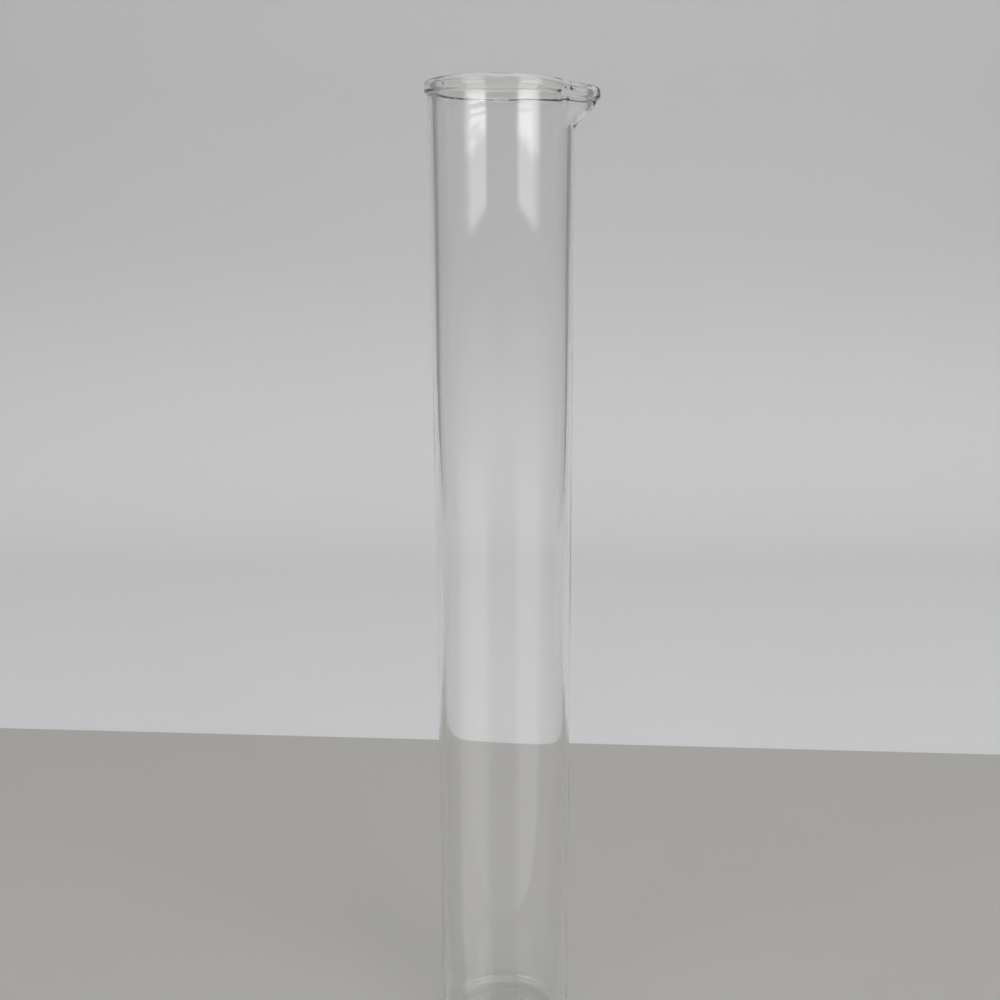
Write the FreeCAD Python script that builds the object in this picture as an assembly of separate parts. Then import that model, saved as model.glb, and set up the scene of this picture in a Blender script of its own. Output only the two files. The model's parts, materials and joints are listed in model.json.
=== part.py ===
"""Drying tube: one clear glass tube, closed at a flat base and open at the top.

The mouth has a rounded bead, and a lip pulled out of the wall on the +X side for pouring.
Millimetres. The origin is the centre of the base, +Z runs up the tube's axis to the mouth.
The whole tube is one piece of glass, so it is one solid.
"""
import FreeCAD, Part
import math
import os
from FreeCAD import Vector

# Body
BODY_DIAMETER = 38.0        # outside, the same from base to rim
WALL = 2.0
HEIGHT = 275.0              # base to the top of the rim, away from the lip
BASE_THICKNESS = 3.0
HEEL_RADIUS = 4.0           # outside, where the wall turns into the base
FLOOR_FILLET = 2.5          # inside, where the wall meets the floor

# Rim bead: its inside is flush with the bore, its outside stands proud of the wall
RIM_PROUD = 1.0
RIM_DEPTH = 3.4             # from the top of the rim to the bead's lowest point
RIM_UNDER_RADIUS = 1.0      # the bead's lower, outer corner
RIM_CREASE_RADIUS = 0.5     # the hollow where the bead meets the wall

# Pouring lip
LIP_REACH = 5.4             # how far its tip is pulled out from the round rim
LIP_DEPTH = 12.3            # how far below the rim the wall starts to lean out
LIP_HALF_ANGLE = 36.0       # degrees each side of +X that are pulled out
LIP_DROP = 1.6              # how far the pull has lowered the rim at the tip
DROP_HALF_ANGLE = 75.0      # degrees each side of +X over which the rim sinks towards the lip
LIP_SECTIONS = 30           # spaces between the cross-sections that the lip's surface passes through
JOIN_TOLERANCE = 0.0001     # the lip's surface follows its sections this closely

# Worked out
OUTER_RADIUS = BODY_DIAMETER / 2
BORE_RADIUS = OUTER_RADIUS - WALL
RIM_TOP_RADIUS = (WALL + RIM_PROUD) / 2
COLLAR_BOTTOM = HEIGHT - LIP_DEPTH


def swell(angle, half_angle):
    """1 at +X, falling smoothly to 0 at half_angle degrees each side of it."""
    if abs(angle) >= half_angle:
        return 0.0
    return math.cos(math.pi / 2 * angle / half_angle) ** 2


def radial_point(radius, height, angle):
    turn = math.radians(angle)
    return Vector(radius * math.cos(turn), radius * math.sin(turn), height)


def arc_edge(centre, radius, start, end, angle):
    """An arc in the radial plane at angle. start and end are in degrees about its centre (r, z)."""
    points = []
    for turn in (start, (start + end) / 2, end):
        across = centre[0] + radius * math.cos(math.radians(turn))
        up = centre[1] + radius * math.sin(math.radians(turn))
        points.append(radial_point(across, up, angle))
    return Part.Arc(*points).toShape()


def line_edge(start, end, angle):
    return Part.makeLine(radial_point(*start, angle), radial_point(*end, angle))


def flare_edge(radius, reach, top, angle):
    """The wall from the collar's bottom up to top, leaning out by reach in a smooth S."""
    rise = top - COLLAR_BOTTOM
    poles = [(radius, COLLAR_BOTTOM), (radius, COLLAR_BOTTOM + rise / 3),
             (radius + reach, COLLAR_BOTTOM + 2 * rise / 3), (radius + reach, top)]
    curve = Part.BezierCurve()
    curve.setPoles([radial_point(*pole, angle) for pole in poles])
    return curve.toShape()


def collar_section(angle):
    """The cut face of the collar, wall and bead, in the radial plane at angle."""
    reach = LIP_REACH * swell(angle, LIP_HALF_ANGLE)
    top = HEIGHT - LIP_DROP * swell(angle, DROP_HALF_ANGLE)
    outer = OUTER_RADIUS + reach
    inner = BORE_RADIUS + reach

    # The crease arc touches the wall and the bead's lower corner, which curve opposite ways
    corner = (outer + RIM_PROUD - RIM_UNDER_RADIUS, top - RIM_DEPTH + RIM_UNDER_RADIUS)
    across = outer + RIM_CREASE_RADIUS - corner[0]
    between = RIM_UNDER_RADIUS + RIM_CREASE_RADIUS
    down = math.sqrt(between ** 2 - across ** 2)
    crease = (outer + RIM_CREASE_RADIUS, corner[1] - down)
    lean = math.degrees(math.atan2(down, across))
    crown = (inner + RIM_TOP_RADIUS, top - RIM_TOP_RADIUS)

    edges = [
        flare_edge(OUTER_RADIUS, reach, crease[1], angle),
        arc_edge(crease, RIM_CREASE_RADIUS, 180, 180 - lean, angle),
        arc_edge(corner, RIM_UNDER_RADIUS, -lean, 0, angle),
        line_edge((outer + RIM_PROUD, corner[1]), (outer + RIM_PROUD, crown[1]), angle),
        arc_edge(crown, RIM_TOP_RADIUS, 0, 180, angle),
        line_edge((inner, crown[1]), (inner, crease[1]), angle),
        flare_edge(BORE_RADIUS, reach, crease[1], angle),
        line_edge((BORE_RADIUS, COLLAR_BOTTOM), (OUTER_RADIUS, COLLAR_BOTTOM), angle),
    ]
    return Part.Wire(edges)


def make_body():
    """The straight tube and its base, up to where the lip's flare starts."""
    heel = arc_edge((OUTER_RADIUS - HEEL_RADIUS, HEEL_RADIUS), HEEL_RADIUS, -90, 0, 0)
    fillet_centre = (BORE_RADIUS - FLOOR_FILLET, BASE_THICKNESS + FLOOR_FILLET)
    fillet = arc_edge(fillet_centre, FLOOR_FILLET, 0, -90, 0)
    edges = [
        line_edge((0, 0), (OUTER_RADIUS - HEEL_RADIUS, 0), 0),
        heel,
        line_edge((OUTER_RADIUS, HEEL_RADIUS), (OUTER_RADIUS, COLLAR_BOTTOM), 0),
        line_edge((OUTER_RADIUS, COLLAR_BOTTOM), (BORE_RADIUS, COLLAR_BOTTOM), 0),
        line_edge((BORE_RADIUS, COLLAR_BOTTOM), (BORE_RADIUS, fillet_centre[1]), 0),
        fillet,
        line_edge((fillet_centre[0], BASE_THICKNESS), (0, BASE_THICKNESS), 0),
        line_edge((0, BASE_THICKNESS), (0, 0), 0),
    ]
    profile = Part.Face(Part.Wire(edges))
    return profile.revolve(Vector(0, 0, 0), Vector(0, 0, 1), 360)


def make_plain_collar():
    """The round part of the rim, the same section all the way."""
    profile = Part.Face(collar_section(DROP_HALF_ANGLE))
    return profile.revolve(Vector(0, 0, 0), Vector(0, 0, 1), 360 - 2 * DROP_HALF_ANGLE)


def make_lip():
    """The part of the rim that is pulled out, lofted through its radial sections."""
    step = 2 * DROP_HALF_ANGLE / LIP_SECTIONS
    sections = [collar_section(-DROP_HALF_ANGLE + step * count) for count in range(LIP_SECTIONS + 1)]
    return Part.makeLoft(sections, True)


def make_glass_tube():
    tube = make_body().multiFuse([make_plain_collar(), make_lip()], JOIN_TOLERANCE)
    return tube.removeSplitter().Solids[0]


os.makedirs("parts", exist_ok=True)
glass_tube = make_glass_tube()
glass_tube.exportStep("parts/glass_tube.step")
print("glass_tube", "valid", glass_tube.isValid(), "volume mm3", round(glass_tube.Volume, 1))
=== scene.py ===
# %% [markdown]
# # A clear glass drying tube
# The real object is one piece of drawn glass tube: a flat base closed in the flame, a bead run
# round the mouth, and a lip pulled out on one side for pouring. There is nothing else to it, so
# everything that makes it look real is in three things: the true thickness of the wall, the small
# unevenness that hand work leaves, and what the glass has around it to bend and mirror.
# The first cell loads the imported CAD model. Blender adds to it and never moves it.

# %% Load the frame
import json
import math
import random

import bpy
import numpy as np
from mathutils import Matrix, Vector


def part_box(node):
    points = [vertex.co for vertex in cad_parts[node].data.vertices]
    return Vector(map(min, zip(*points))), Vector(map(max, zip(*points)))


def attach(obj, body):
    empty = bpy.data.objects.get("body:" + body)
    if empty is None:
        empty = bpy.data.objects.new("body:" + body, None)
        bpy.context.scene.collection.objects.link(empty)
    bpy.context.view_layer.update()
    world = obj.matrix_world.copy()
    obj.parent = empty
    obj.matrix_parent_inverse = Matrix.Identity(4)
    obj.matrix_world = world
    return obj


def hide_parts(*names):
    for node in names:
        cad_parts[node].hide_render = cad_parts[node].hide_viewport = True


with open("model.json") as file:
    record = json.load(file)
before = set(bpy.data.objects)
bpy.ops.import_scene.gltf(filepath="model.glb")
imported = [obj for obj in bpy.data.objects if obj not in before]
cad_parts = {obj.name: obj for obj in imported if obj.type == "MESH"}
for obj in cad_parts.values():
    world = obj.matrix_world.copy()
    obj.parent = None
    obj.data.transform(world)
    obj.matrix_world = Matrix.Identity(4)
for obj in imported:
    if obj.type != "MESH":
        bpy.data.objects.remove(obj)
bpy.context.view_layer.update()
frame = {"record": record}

MM = 0.001

# %% [markdown]
# ## Sizes
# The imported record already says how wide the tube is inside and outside, because a clamp and a
# stopper need to know. The height is the CAD node's own. Only the worked details of the mouth and
# base are given here again, in metres. They are the ones that the CAD solid has, except for the
# slight hollow under the base, which the CAD leaves flat. The CAD mesh is made of flat facets and
# falls a few hundredths of a millimetre short of the true round in some directions, so the outside
# is taken in by that much and stays within the CAD size.

# %% Sizes of the tube
FACET_TRIM = 0.03 * MM
mounts = {mount["name"]: mount for mount in frame["record"]["mounts"]}
low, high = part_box("glass_tube")
OUTER = mounts["body_grip"]["dims"]["r_mm"] * MM - FACET_TRIM
BORE = mounts["mouth_bore"]["dims"]["r_mm"] * MM
WALL = OUTER - BORE
HEIGHT = high.z
BASE = 3.0 * MM
HEEL = 4.0 * MM
FILLET = 2.5 * MM
BASE_HOLLOW = 0.25 * MM

BEAD_PROUD, BEAD_DEPTH = 1.0 * MM, 3.4 * MM
BEAD_CORNER, BEAD_CREASE = 1.0 * MM, 0.5 * MM
LIP_REACH, LIP_DEPTH, LIP_HALF_ANGLE = 5.4 * MM, 12.3 * MM, math.radians(36)
LIP_DROP, DROP_HALF_ANGLE = 1.6 * MM, math.radians(75)

print("CAD tube is %.1f mm tall, wall %.1f mm" % ((high.z - low.z) / MM, WALL / MM))

# %% [markdown]
# ## The outline
# A glass blower thinks of a tube as one outline carried round the axis. Starting under the middle
# of the base, it runs out to the heel, up the outside, over the bead, down the bore and back to
# the middle of the floor. The lip is the same outline pushed outward and a little down near +X,
# so one function of the angle gives the whole tube, and the mesh needs no joins or booleans.
# Joins matter in glass: any seam or doubled face shows as a dark line.

# %% Arcs and the swell of the lip
def arc(centre, radius, start, end, steps):
    """Points on an arc in the outline's plane, without its first one. Angles are in degrees."""
    turns = np.radians(np.linspace(start, end, steps + 1)[1:])
    return [(centre[0] + radius * math.cos(t), centre[1] + radius * math.sin(t)) for t in turns]


def straight(start, end, steps):
    """Points on a straight stretch, without its first one."""
    shares = np.linspace(0, 1, steps + 1)[1:]
    return [(start[0] + (end[0] - start[0]) * s, start[1] + (end[1] - start[1]) * s) for s in shares]


def swell(angle, half_angle):
    """1 towards +X, falling smoothly to 0 at half_angle each side of it."""
    away = abs((angle + math.pi) % (2 * math.pi) - math.pi)
    return math.cos(math.pi / 2 * away / half_angle) ** 2 if away < half_angle else 0.0


def flare(radius, reach, bottom, top, steps):
    """The wall leaning out by reach in a smooth S between two heights, without its first point."""
    shares = np.linspace(0, 1, steps + 1)[1:]
    return [(radius + reach * s * s * (3 - 2 * s), bottom + (top - bottom) * s) for s in shares]


# %% The outline at one angle
COLLAR = HEIGHT - LIP_DEPTH
WALL_STEPS, FLARE_STEPS, HEEL_STEPS, BEAD_STEPS, CROWN_STEPS = 44, 18, 18, 14, 34
BASE_STEPS, BEAD_SIDE_STEPS, COLLAR_STEPS = 6, 2, 3


def outline(angle):
    """(radius, height) points of the glass from under the base, over the rim, to the floor."""
    reach = LIP_REACH * swell(angle, LIP_HALF_ANGLE)
    top = HEIGHT - LIP_DROP * swell(angle, DROP_HALF_ANGLE)
    outside, inside = OUTER + reach, BORE + reach
    crown_radius = (WALL + BEAD_PROUD) / 2
    corner = (outside + BEAD_PROUD - BEAD_CORNER, top - BEAD_DEPTH + BEAD_CORNER)
    across = outside + BEAD_CREASE - corner[0]
    down = math.sqrt((BEAD_CORNER + BEAD_CREASE) ** 2 - across ** 2)
    crease = (outside + BEAD_CREASE, corner[1] - down)
    lean = math.degrees(math.atan2(down, across))
    crown = (inside + crown_radius, top - crown_radius)
    floor_centre = (BORE - FILLET, BASE + FILLET)

    points = straight((0, 0), (OUTER - HEEL, 0), BASE_STEPS)
    points += arc((OUTER - HEEL, HEEL), HEEL, -90, 0, HEEL_STEPS)
    points += straight((OUTER, HEEL), (OUTER, COLLAR), WALL_STEPS)
    points += flare(OUTER, reach, COLLAR, crease[1], FLARE_STEPS)
    points += arc(crease, BEAD_CREASE, 180, 180 - lean, BEAD_STEPS)
    points += arc(corner, BEAD_CORNER, -lean, 0, BEAD_STEPS)
    bead_side = outside + BEAD_PROUD
    points += straight((bead_side, corner[1]), (bead_side, crown[1]), BEAD_SIDE_STEPS)
    points += arc(crown, crown_radius, 0, 180, CROWN_STEPS)
    points += straight((inside, crown[1]), (inside, crease[1]), COLLAR_STEPS)
    points += flare(BORE, reach, COLLAR, crease[1], FLARE_STEPS)[-2::-1] + [(BORE, COLLAR)]
    points += straight((BORE, COLLAR), (BORE, floor_centre[1]), WALL_STEPS)
    points += arc(floor_centre, FILLET, 0, -90, HEEL_STEPS)
    points += straight((BORE - FILLET, BASE), (0, BASE), BASE_STEPS)[:-1]
    return points


print("outline has", len(outline(0.0)), "points")

# %% [markdown]
# ## Drawn glass is never quite round
# Tube is drawn from a furnace, so its wall wanders by less than a tenth of a millimetre, in long
# slow waves along its length and one to four round it. The eye can't see the waves, but it sees
# what they do: highlights with soft, wavering edges instead of ruled ones. The outside only ever
# moves inward, so the tube stays inside its CAD size. The waves die out at the base and the rim,
# which are worked in the flame afterwards. A fixed seed gives the same glass every run.

# %% Waves of the drawn wall
random.seed(38)
OUTSIDE_WANDER, INSIDE_WANDER = 0.05 * MM, 0.09 * MM
WAVE_LENGTHS = (0.30, 0.17, 0.11, 0.07)
ROUND_COUNTS = (2, 3, 1, 4)
CALM_FOOT, CALM_MOUTH = 6 * HEEL, 3 * LIP_DEPTH


def make_waves():
    """Each wave is how often it goes round, its radians per metre of height, its phase and its share."""
    waves = []
    share = 1 / len(WAVE_LENGTHS)
    for count, length in zip(ROUND_COUNTS, WAVE_LENGTHS):
        phase = random.uniform(0, 2 * math.pi)
        waves.append((count, 2 * math.pi / length, phase, share))
    return waves


outside_waves, inside_waves = make_waves(), make_waves()
print("the wall has", len(outside_waves), "waves outside and", len(inside_waves), "inside")


def wander(waves, angle, height):
    """Between -1 and 1, fading to 0 at the heel and at the mouth."""
    total = sum(share * math.cos(count * angle + rate * height + phase)
                for count, rate, phase, share in waves)
    rise = min(1.0, max(0.0, (height - HEEL) / CALM_FOOT))
    fall = min(1.0, max(0.0, (HEIGHT - height) / CALM_MOUTH))
    return total * math.sin(math.pi / 2 * rise) * math.sin(math.pi / 2 * fall)


def hollow(radius):
    """How far the underside is drawn up at a radius. It stands on the ring where the heel starts."""
    share = min(1.0, radius / (OUTER - HEEL))
    return BASE_HOLLOW * (1 - share ** 2) ** 2


def uneven(radius, height, angle, inside):
    """The radius of a wall point with the waves in it. Points of the base and floor stay."""
    if inside and radius > BORE - FILLET / 2:
        return radius + INSIDE_WANDER * wander(inside_waves, angle, height)
    if not inside and radius > OUTER - HEEL / 2:
        calm = min(1.0, height / CALM_FOOT) * min(1.0, (HEIGHT - height) / CALM_MOUTH)
        return radius - OUTSIDE_WANDER * (1 - wander(outside_waves, angle, height)) / 2 * calm
    return radius


# %% [markdown]
# ## The mesh
# The outline is worked out at 288 angles, and each point is joined to its neighbour at the next
# angle by a quad. The two ends meet on the axis in a fan. The result is one closed skin with the
# outside and the bore both in it, which is what a refracting shader needs: light is bent once on
# the way into the wall and once on the way out.

# %% Build the tube
AROUND = 288


def make_tube(name):
    """One closed skin: the outline's points ring by ring, with a fan at each end of the axis."""
    rings = []
    for step in range(AROUND):
        angle = 2 * math.pi * step / AROUND
        points = outline(angle)
        rim = max(range(len(points)), key=lambda index: points[index][1])
        ring = []
        for index, (radius, height) in enumerate(points):
            drawn = uneven(radius, height, angle, index > rim)
            level = height if height > 0 else hollow(radius)
            ring.append((drawn * math.cos(angle), drawn * math.sin(angle), level))
        rings.append(ring)
    count = len(rings[0])
    vertices = [(0, 0, hollow(0)), (0, 0, BASE)] + [point for ring in rings for point in ring]
    faces = []
    for step in range(AROUND):
        here, there = 2 + step * count, 2 + (step + 1) % AROUND * count
        faces.append((0, there, here))
        faces.append((1, here + count - 1, there + count - 1))
        faces += [(here + i, there + i, there + i + 1, here + i + 1) for i in range(count - 1)]
    mesh = bpy.data.meshes.new(name)
    mesh.from_pydata(vertices, [], faces)
    mesh.validate()
    mesh.shade_smooth()
    tube = bpy.data.objects.new(name, mesh)
    bpy.context.scene.collection.objects.link(tube)
    return tube


tube = make_tube("drawn_glass_tube")
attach(tube, "root")
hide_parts("glass_tube")
print("tube has", len(tube.data.vertices), "vertices and", len(tube.data.polygons), "faces")

# %% [markdown]
# ## Writing shader maths
# Node trees are easier to read as sums. `Flow` holds one output socket, and adding or multiplying
# flows makes the Math nodes. `Finish` is the node tree of a new material, or of the world that
# surrounds the set: its `node` method makes any other node from a type, its settings and what goes
# into its sockets.

# %% A socket that can be reckoned with
class Flow:
    """One output socket of a node tree. Sums and products of flows add Math nodes."""

    def __init__(self, finish, socket):
        self.finish = finish
        self.socket = socket

    def reckon(self, operation, first, second):
        return self.finish.node("ShaderNodeMath", {"operation": operation}, {0: first, 1: second})

    def __add__(self, other):
        return self.reckon("ADD", self, other)

    def __rsub__(self, other):
        return self.reckon("SUBTRACT", other, self)

    def __mul__(self, other):
        return self.reckon("MULTIPLY", self, other)

    __radd__ = __add__
    __rmul__ = __mul__


class Finish:
    """The empty node tree of a new material or world, and a short way to add nodes to it."""

    def __init__(self, owner):
        owner.use_nodes = True
        self.owner = owner
        self.nodes = owner.node_tree.nodes
        self.links = owner.node_tree.links
        self.nodes.clear()

    def node(self, kind, settings=None, sockets=None, out=0):
        made = self.nodes.new(kind)
        for name, value in (settings or {}).items():
            if name == "stops":
                self.set_stops(made.color_ramp, value)
            else:
                setattr(made, name, value)
        for key, value in (sockets or {}).items():
            if isinstance(value, Flow):
                self.links.new(value.socket, made.inputs[key])
            else:
                made.inputs[key].default_value = value
        return Flow(self, made.outputs[out]) if made.outputs else None

    def step(self, value, start, end):
        """0 at start and 1 at end, smoothly. end may be the lower of the two."""
        return self.node("ShaderNodeMapRange", {"interpolation_type": "SMOOTHSTEP"}, {
            "Value": value, "From Min": start, "From Max": end})

    def band(self, value, low, high, edge):
        """1 between low and high, falling to 0 over edge outside them."""
        return self.step(value, low - edge, low) * self.step(value, high + edge, high)

    def blend(self, share, first, second):
        """The first colour where share is 0, and the second where it is 1."""
        return self.node("ShaderNodeMix", {"data_type": "RGBA"}, {0: share, 6: first, 7: second}, out=2)

    def set_stops(self, ramp, stops):
        """stops are (place, grey value) pairs, from low to high."""
        while len(ramp.elements) < len(stops):
            ramp.elements.new(1.0)
        for element, (place, grey) in zip(ramp.elements, stops):
            element.position = place
            element.color = (grey, grey, grey, 1)


# %% [markdown]
# ## Clear lab glass
# Hard lab glass bends light a little less than window glass, at an index of about 1.47, and it has
# a faint olive-grey tint. The tint only shows where light goes a long way through the glass, at the
# bead, at the heel and wherever the eye looks along the wall, so it is mixed in there.
# Three more things keep it from looking like a computer's perfect glass. Drawing leaves very fine
# lines along the tube. Handling leaves a thin film that dulls the gloss in soft patches. And years
# of being stood on benches grind the ring of the base that touches them. The whole underside is also
# tinted a little greyer: that is painted shade, which darkens the floor seen through the base.

# %% Masks over the glass
GROUND_RADIUS, GROUND_HALF_WIDTH, GROUND_EDGE = OUTER - HEEL, 0.9 * MM, 0.6 * MM
GROUND_HEIGHT, GROUND_FADE, UNDER_HEIGHT = 0.3 * MM, 0.2 * MM, 0.9 * MM
BEAD_FADE = 1.0 * MM
FILM_SCALE, FILM_DETAIL, FILM_COARSENESS = 38.0, 5.0, 0.62
FILM_STOPS = [(0.5, 0.0), (0.72, 1.0)]
GRIT_SCALE, GRIT_DETAIL = 900.0, 2.0

glass = Finish(bpy.data.materials.new("clear_lab_glass"))
place = glass.node("ShaderNodeTexCoord", out="Object")
height = glass.node("ShaderNodeSeparateXYZ", sockets={"Vector": place}, out="Z")
sideways = glass.node("ShaderNodeVectorMath", {"operation": "MULTIPLY"}, {0: place, 1: (1, 1, 0)})
radius = glass.node("ShaderNodeVectorMath", {"operation": "LENGTH"}, {0: sideways}, out="Value")

film = glass.node("ShaderNodeTexNoise", sockets={
    "Vector": place, "Scale": FILM_SCALE, "Detail": FILM_DETAIL, "Roughness": FILM_COARSENESS})
film_mask = glass.node("ShaderNodeValToRGB", {"stops": FILM_STOPS}, {"Fac": film})
grit = glass.node("ShaderNodeTexNoise", sockets={
    "Vector": place, "Scale": GRIT_SCALE, "Detail": GRIT_DETAIL})
ground_ring = glass.band(
    radius, GROUND_RADIUS - GROUND_HALF_WIDTH, GROUND_RADIUS + GROUND_HALF_WIDTH, GROUND_EDGE)
ground_mask = ground_ring * glass.band(height, -GROUND_HEIGHT, GROUND_HEIGHT, GROUND_FADE) * grit
bead_mask = glass.band(height, HEIGHT - LIP_DROP - BEAD_DEPTH, HEIGHT, BEAD_FADE)
heel_mask = glass.band(height, 0.0, BASE, FILLET)
# The underside mask carries painted shade: it greys the glass under the base so the floor seen through
# it is darker.
under_shade_mask = glass.step(height, UNDER_HEIGHT, GROUND_HEIGHT)
print("masks take", len(glass.nodes), "nodes")

# %% Tint, gloss and draw lines
THIN_TINT, THICK_TINT = (0.985, 0.985, 0.984, 1), (0.928, 0.932, 0.903, 1)
# The underside's greyer tint is painted shade, which darkens the floor seen through the base.
UNDERSIDE_SHADE_TINT = (0.84, 0.845, 0.83, 1)
EDGE_BLEND, BEAD_THICKNESS, HEEL_THICKNESS = 0.22, 0.8, 0.5
CLEAN_ROUGHNESS, FILM_ROUGHNESS, GROUND_ROUGHNESS = 0.003, 0.03, 0.12
LINE_SCALE, LINE_DETAIL, LINE_STRENGTH, LINE_DEPTH = (420, 420, 5), 3.0, 0.05, 0.2 * MM

edge_on = glass.node("ShaderNodeLayerWeight", sockets={"Blend": EDGE_BLEND}, out="Facing")
thickness = glass.node("ShaderNodeMath", {"operation": "MAXIMUM"}, {
    0: edge_on, 1: bead_mask * BEAD_THICKNESS + heel_mask * HEEL_THICKNESS})
unshaded_tint = glass.blend(thickness, THIN_TINT, THICK_TINT)
tint = glass.blend(under_shade_mask, unshaded_tint, UNDERSIDE_SHADE_TINT)
roughness = CLEAN_ROUGHNESS + film_mask * (FILM_ROUGHNESS - CLEAN_ROUGHNESS) \
    + ground_mask * (GROUND_ROUGHNESS - FILM_ROUGHNESS)
along = glass.node("ShaderNodeMapping", sockets={"Vector": place, "Scale": LINE_SCALE})
draw_lines = glass.node("ShaderNodeTexNoise", sockets={
    "Vector": along, "Scale": 1.0, "Detail": LINE_DETAIL})
bump = glass.node("ShaderNodeBump", sockets={
    "Height": draw_lines, "Strength": LINE_STRENGTH, "Distance": LINE_DEPTH})
print("tint, gloss and lines bring it to", len(glass.nodes))

# %% [markdown]
# The glass is one Principled shader with full transmission. Light that goes through it to make a
# shadow would take very long to follow, so a shadow ray meets a plain, faintly tinted transparent
# surface in its place. The shadow stays pale and soft, as a thin-walled tube's is.

# %% The glass itself
GLASS_INDEX = 1.473
SHADOW_TINT = (0.87, 0.88, 0.87, 1)

clear = glass.node("ShaderNodeBsdfPrincipled", {"distribution": "MULTI_GGX"}, {
    "Base Color": tint, "IOR": GLASS_INDEX, "Transmission Weight": 1.0,
    "Roughness": roughness, "Normal": bump})
passing = glass.node("ShaderNodeBsdfTransparent", sockets={"Color": SHADOW_TINT})
shadow_ray = glass.node("ShaderNodeLightPath", out="Is Shadow Ray")
surface = glass.node("ShaderNodeMixShader", sockets={0: shadow_ray, 1: clear, 2: passing})
glass.node("ShaderNodeOutputMaterial", sockets={"Surface": surface})
tube.data.materials.append(glass.owner)
print("glass has", len(glass.nodes), "nodes")

# %% [markdown]
# ## The set
# Glass has no colour of its own, so it is only as good as what stands round it. The tube stands on
# a pale grey board. Behind the board's far edge a paler sweep runs back and curves up, and that edge,
# seen through the tube, shows how the two walls bend it. The sweep starts its curve far enough back
# for a camera to stand behind the tube too.

# %% The board and the sweep
BOARD_BACK, BOARD_THICK, BOARD_TOP = 0.2005, 0.002, -0.00005
BOARD_HALF_WIDTH, SWEEP_HALF_WIDTH, SET_FRONT = 3.0, 0.56, -4.0
COVE_START, COVE_RADIUS, SWEEP_TOP = 0.50, 0.35, 2.2
BOARD_TURN = math.radians(4.2)
BOARD_COLOUR = (0.447, 0.435, 0.416, 1)
# The sweep is painted darker upward: painted shade where less light reaches the top of the wall.
SWEEP_LOW_COLOUR, SWEEP_SHADED_TOP_COLOUR = (0.70, 0.70, 0.705, 1), (0.545, 0.545, 0.55, 1)
FADE_START, FADE_END = -0.05, 0.25
MOTTLE_SCALE, MOTTLE_DETAIL, MATT_ROUGHNESS = 9.0, 6.0, 0.8
BOARD_MOTTLE, SWEEP_MOTTLE = 0.04, 0.02
COVE_STEPS, SWEEP_MARGIN = 24, 0.2


def plain_paint(name, low_colour, shaded_top_colour, mottling):
    """A matt paint that may darken upward as painted shade, with a trace of mottle so that it isn't dead
    flat.
    """
    paint = Finish(bpy.data.materials.new(name))
    where = paint.node("ShaderNodeTexCoord", out="Object")
    height = paint.node("ShaderNodeSeparateXYZ", sockets={"Vector": where}, out="Z")
    plain = paint.blend(paint.step(height, FADE_START, FADE_END), low_colour, shaded_top_colour)
    mottle = paint.node("ShaderNodeTexNoise", sockets={
        "Vector": where, "Scale": MOTTLE_SCALE, "Detail": MOTTLE_DETAIL})
    tone = paint.node("ShaderNodeVectorMath", {"operation": "SCALE"}, {
        0: plain, "Scale": 1 - mottle * mottling})
    matt = paint.node("ShaderNodeBsdfPrincipled", sockets={
        "Base Color": tone, "Roughness": MATT_ROUGHNESS})
    paint.node("ShaderNodeOutputMaterial", sockets={"Surface": matt})
    return paint.owner


def add_stage(name, vertices, faces, material):
    """A piece of the set. It is attached to no body, so it is no part of the model."""
    mesh = bpy.data.meshes.new(name)
    mesh.from_pydata(vertices, [], faces)
    mesh.materials.append(material)
    piece = bpy.data.objects.new(name, mesh)
    bpy.context.scene.collection.objects.link(piece)
    return piece


def make_board():
    """A thin slab that ends behind the tube, turned a little about the middle of that edge."""
    left, right = -BOARD_HALF_WIDTH, BOARD_HALF_WIDTH
    corners = [(left, SET_FRONT), (right, SET_FRONT), (right, BOARD_BACK), (left, BOARD_BACK)]
    vertices = [(x, y, -BOARD_THICK) for x, y in corners] + [(x, y, 0) for x, y in corners]
    sides = [(i, (i + 1) % 4, (i + 1) % 4 + 4, i + 4) for i in range(4)]
    paint = plain_paint("pale_board", BOARD_COLOUR, BOARD_COLOUR, BOARD_MOTTLE)
    board = add_stage("floor_board", vertices, [(0, 3, 2, 1), (4, 5, 6, 7)] + sides, paint)
    to_edge = Matrix.Translation((0, BOARD_BACK, BOARD_TOP))
    from_edge = Matrix.Translation((0, -BOARD_BACK, 0))
    board.matrix_world = to_edge @ Matrix.Rotation(-BOARD_TURN, 4, "Z") @ from_edge
    return board


def make_sweep():
    """Flat under the board, then curved up in a quarter round, then upright."""
    profile = [(SET_FRONT - SWEEP_MARGIN, -BOARD_THICK), (COVE_START, -BOARD_THICK)]
    for turn in np.radians(np.linspace(-90, 0, COVE_STEPS + 1)[1:]):
        profile.append((COVE_START + COVE_RADIUS * math.cos(turn),
                        COVE_RADIUS * (1 + math.sin(turn)) - BOARD_THICK))
    profile.append((profile[-1][0], SWEEP_TOP))
    vertices = [(side * SWEEP_HALF_WIDTH, y, z) for y, z in profile for side in (-1, 1)]
    faces = [(2 * i, 2 * i + 1, 2 * i + 3, 2 * i + 2) for i in range(len(profile) - 1)]
    paint = plain_paint("pale_sweep", SWEEP_LOW_COLOUR, SWEEP_SHADED_TOP_COLOUR, SWEEP_MOTTLE)
    sweep = add_stage("backdrop_sweep", vertices, faces, paint)
    sweep.data.shade_smooth()
    return sweep


board, sweep = make_board(), make_sweep()
print("board's far edge is", BOARD_BACK / MM, "mm behind the tube")

# %% [markdown]
# ## Light
# A vertical glass wall mirrors whatever lies at the height it is looked along, so a lamp overhead
# lights the set and only shows in the bead and the base. The two bright stripes near the mouth are
# windows, one each side of the camera. They start about at the eye's level, so they show only in
# the top of the tube, and they fade at their edges as a curtained window does.

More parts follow.
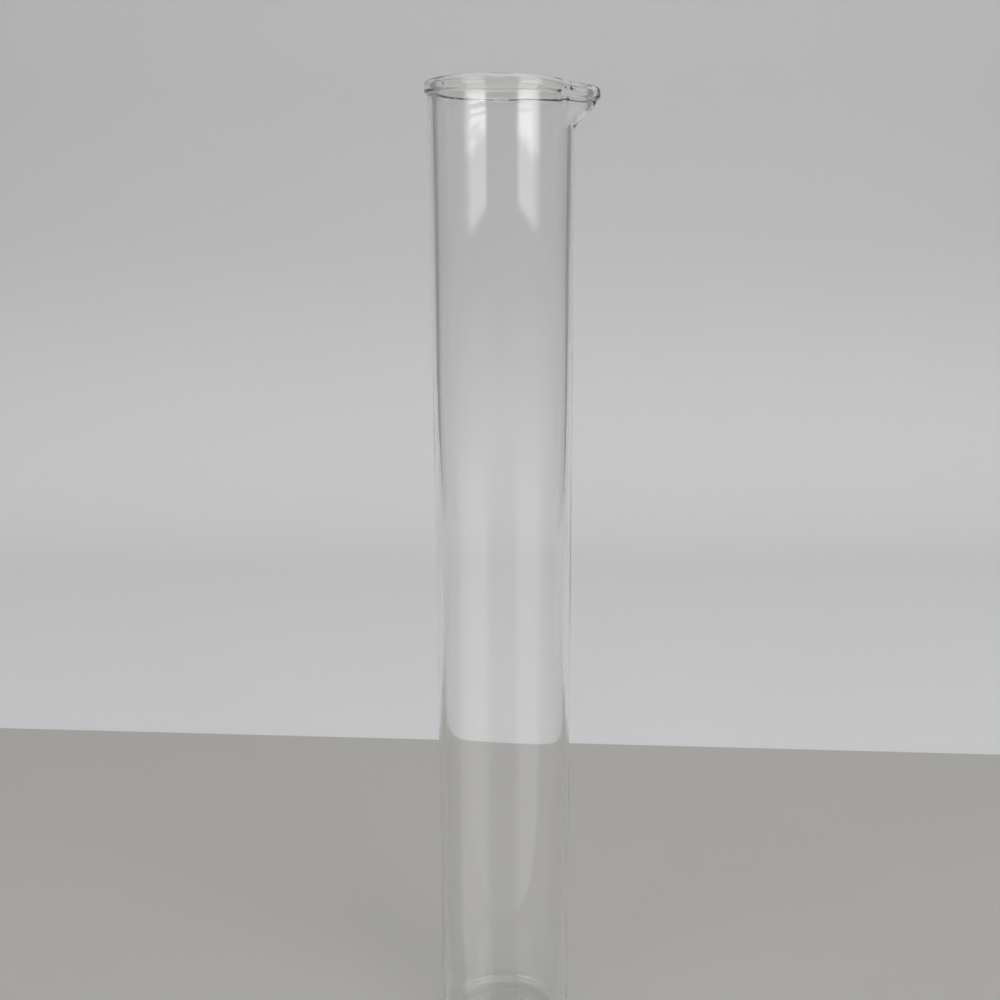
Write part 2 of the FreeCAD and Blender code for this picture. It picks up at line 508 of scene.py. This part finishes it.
# %% Cards that glow
def glow_paint(paint, shown, shine, strength):
    """Finish a card that glows by shine where shown is 1, and isn't there where it is 0.

    It shows where glass mirrors it, but isn't there for a straight look, through glass or not,
    so that it stands in the background of no view.
    """
    card = paint.node("ShaderNodeBsdfPrincipled", sockets={
        "Base Color": (0, 0, 0, 1), "Emission Color": shine, "Emission Strength": strength})
    nothing = paint.node("ShaderNodeBsdfTransparent")
    looked_at = paint.node("ShaderNodeLightPath", out="Is Camera Ray") \
        + paint.node("ShaderNodeLightPath", out="Is Transmission Ray")
    mirrored = paint.node("ShaderNodeMath", {"operation": "MINIMUM"}, {
        0: paint.node("ShaderNodeLightPath", out="Glossy Depth"), 1: 1.0})
    present = (1 - looked_at * (1 - mirrored)) * shown
    either = paint.node("ShaderNodeMixShader", sockets={0: present, 1: nothing, 2: card})
    paint.node("ShaderNodeOutputMaterial", sockets={"Surface": either})
    return paint.owner


# %% [markdown]
# Each window is a card beside the camera. It is bright above and dimmer in a band below, and both
# lower ends slant down to its far side, as the lines of a window seen aslant do. Its sides fade
# like curtains.

# %% Windows
WINDOW_DISTANCE, WINDOW_HALF_WIDTH, WINDOW_HIGH = 1.6, 0.56, 1.30
CURTAIN_EDGE, DIM_SHARE, WINDOW_SLANT = 0.16, 0.46, 0.045
DIM_START, BRIGHT_START, SILL_BLUR = -0.055, 0.060, 0.020
LEFT_AZIMUTH, LEFT_STRENGTH = -43, 2.85
RIGHT_AZIMUTH, RIGHT_STRENGTH = 44, 3.6
MOUTH = Vector((0, 0, HEIGHT))


def add_window(name, azimuth, strength):
    """A card square to the line from the tube. Its heights are from the tube's mouth up."""
    paint = Finish(bpy.data.materials.new(name + "_glow"))
    where = paint.node("ShaderNodeTexCoord", out="Object")
    across = paint.node("ShaderNodeSeparateXYZ", sockets={"Vector": where}, out="X")
    up = paint.node("ShaderNodeSeparateXYZ", sockets={"Vector": where}, out="Y") + across * WINDOW_SLANT
    clear_of_curtain = WINDOW_HALF_WIDTH - CURTAIN_EDGE
    sides = paint.band(across, -clear_of_curtain, clear_of_curtain, CURTAIN_EDGE)
    shown = paint.step(up, DIM_START, DIM_START + SILL_BLUR) * sides
    shine = DIM_SHARE + (1 - DIM_SHARE) * paint.step(up, BRIGHT_START, BRIGHT_START + SILL_BLUR)

    low = DIM_START - WINDOW_HALF_WIDTH * WINDOW_SLANT
    corners = [(-WINDOW_HALF_WIDTH, low), (WINDOW_HALF_WIDTH, low),
               (WINDOW_HALF_WIDTH, WINDOW_HIGH), (-WINDOW_HALF_WIDTH, WINDOW_HIGH)]
    window = add_stage(name, [(x, z, 0) for x, z in corners], [(0, 1, 2, 3)],
                       glow_paint(paint, shown, shine, strength))
    turn = math.radians(azimuth)
    outward = Vector((math.sin(turn), -math.cos(turn), 0))
    sideways = Vector((math.cos(turn), math.sin(turn), 0)) * math.copysign(1, azimuth)
    facing = Matrix((sideways, Vector((0, 0, 1)), sideways.cross(Vector((0, 0, 1))))).transposed()
    window.matrix_world = Matrix.Translation(MOUTH + outward * WINDOW_DISTANCE) @ facing.to_4x4()
    return window


add_window("left_window", LEFT_AZIMUTH, LEFT_STRENGTH)
add_window("right_window", RIGHT_AZIMUTH, RIGHT_STRENGTH)
print("windows stand %.1f m from the tube" % WINDOW_DISTANCE)

# %% [markdown]
# Light on the table in front of the tube makes the third, faint stripe, which runs down the tube's
# left half to its foot. It is a wedge of glow that lies on the floor and widens away from the tube,
# so that it is mirrored at one width all the way. It is only there to be mirrored: it lights
# nothing else and casts no shadow.

# %% Light on the table
TABLE_NEAR, TABLE_FULL, TABLE_FAR, TABLE_LIFT = 0.0215, 0.45, 1.2, 0.0006
TABLE_GLOW, TABLE_SHARE = 0.98, 0.52
WEDGE_START, WEDGE_END, WEDGE_EDGE = 20, 86, 14


def add_table_light(name):
    """Glow on the floor before the tube, strongest between two angles left of straight ahead.

    It glows upward only, because the floor beneath it is a little glossy and would pick it up.
    """
    paint = Finish(bpy.data.materials.new(name + "_glow"))
    where = paint.node("ShaderNodeTexCoord", out="Object")
    away = paint.node("ShaderNodeVectorMath", {"operation": "LENGTH"}, {0: where}, out="Value")
    turn = paint.node("ShaderNodeTexGradient", {"gradient_type": "RADIAL"}, {"Vector": where}, out="Fac")
    aside = 90 - 360 * turn
    wedge = paint.band(aside, WEDGE_START + WEDGE_EDGE, WEDGE_END - WEDGE_EDGE, WEDGE_EDGE)
    shine = TABLE_SHARE + (1 - TABLE_SHARE) * wedge
    from_above = 1 - paint.node("ShaderNodeNewGeometry", out="Backfacing")
    shown = paint.step(away, TABLE_FAR, TABLE_FULL) * from_above
    corners = [(-TABLE_FAR, -TABLE_FAR), (TABLE_FAR, -TABLE_FAR),
               (TABLE_FAR, -TABLE_NEAR), (-TABLE_FAR, -TABLE_NEAR)]
    table_light = add_stage(name, [(x, y, 0) for x, y in corners], [(0, 1, 2, 3)],
                            glow_paint(paint, shown, shine, TABLE_GLOW))
    table_light.matrix_world = Matrix.Translation((0, 0, TABLE_LIFT))
    table_light.visible_diffuse = False
    table_light.visible_shadow = False
    return table_light


add_table_light("table_light")
print("the table's glow fades out at %.1f m" % TABLE_FAR)

# %% [markdown]
# One large soft lamp above the camera lifts the floor and the sweep. The room itself is a plain
# grey, paler overhead like a ceiling, and darker level with the tube, where its reflection draws the
# dark lines down both edges of the glass.

# %% The room and the lamp
ROOM_GREY, CEILING_GREY = (0.24, 0.245, 0.25, 1), (0.46, 0.465, 0.47, 1)
CEILING_START, CEILING_END = 0.10, 0.60
KEY_SIZE, KEY_PLACE, KEY_AIM, KEY_POWER = 1.4, (0.3, -1.0, 1.7), (0, 0.4, 0.1), 10.5

room = Finish(bpy.data.worlds.new("plain_room"))
direction = room.node("ShaderNodeTexCoord", out="Generated")
upward = room.node("ShaderNodeSeparateXYZ", sockets={"Vector": direction}, out="Z")
grey = room.blend(room.step(upward, CEILING_START, CEILING_END), ROOM_GREY, CEILING_GREY)
background = room.node("ShaderNodeBackground", sockets={"Color": grey})
room.node("ShaderNodeOutputWorld", sockets={"Surface": background})
bpy.context.scene.world = room.owner


def add_lamp(name, size, place, aim, power):
    """A square lamp that faces aim and isn't there for a straight look."""
    lamp = bpy.data.lights.new(name, "AREA")
    lamp.size = size
    lamp.energy = power
    lit = bpy.data.objects.new(name, lamp)
    bpy.context.scene.collection.objects.link(lit)
    lit.location = place
    lit.rotation_euler = (Vector(place) - Vector(aim)).to_track_quat("Z", "Y").to_euler()
    lit.visible_camera = False
    return lit


add_lamp("key_lamp", KEY_SIZE, KEY_PLACE, KEY_AIM, KEY_POWER)

# %% [markdown]
# ## The camera
# It looks down on the tube by 13.4 degrees from just below the rim's height, close enough for the
# tube to run off the bottom of the picture. Being so close is what makes the tube narrow downward.
# Light may pass many walls of glass on its way, so it is followed through more bounces than usual.

# %% Camera
CAMERA_ASIDE, CAMERA_DISTANCE, CAMERA_HEIGHT = -0.0009, 0.325, 0.242
CAMERA_PITCH, CAMERA_ROLL = math.radians(13.4), math.radians(-0.27)
FOCAL_SHARE = 1.205
SENSOR, NEAREST = 36.0, 0.01
GLASS_BOUNCES, GLOSSY_BOUNCES = 32, 24

camera_data = bpy.data.cameras.new("camera")
camera_data.sensor_width = SENSOR
camera_data.lens = SENSOR * FOCAL_SHARE
camera_data.clip_start = NEAREST
camera = bpy.data.objects.new("camera", camera_data)
bpy.context.scene.collection.objects.link(camera)
tilt = Matrix.Rotation(math.pi / 2 - CAMERA_PITCH, 4, "X") @ Matrix.Rotation(CAMERA_ROLL, 4, "Z")
camera.matrix_world = Matrix.Translation((CAMERA_ASIDE, -CAMERA_DISTANCE, CAMERA_HEIGHT)) @ tilt
bpy.context.scene.camera = camera
scene = bpy.context.scene
scene.view_settings.view_transform = "Standard"
scene.cycles.max_bounces = GLASS_BOUNCES
scene.cycles.glossy_bounces = GLOSSY_BOUNCES
scene.cycles.transmission_bounces = GLASS_BOUNCES
print("lens %.1f mm" % camera_data.lens)
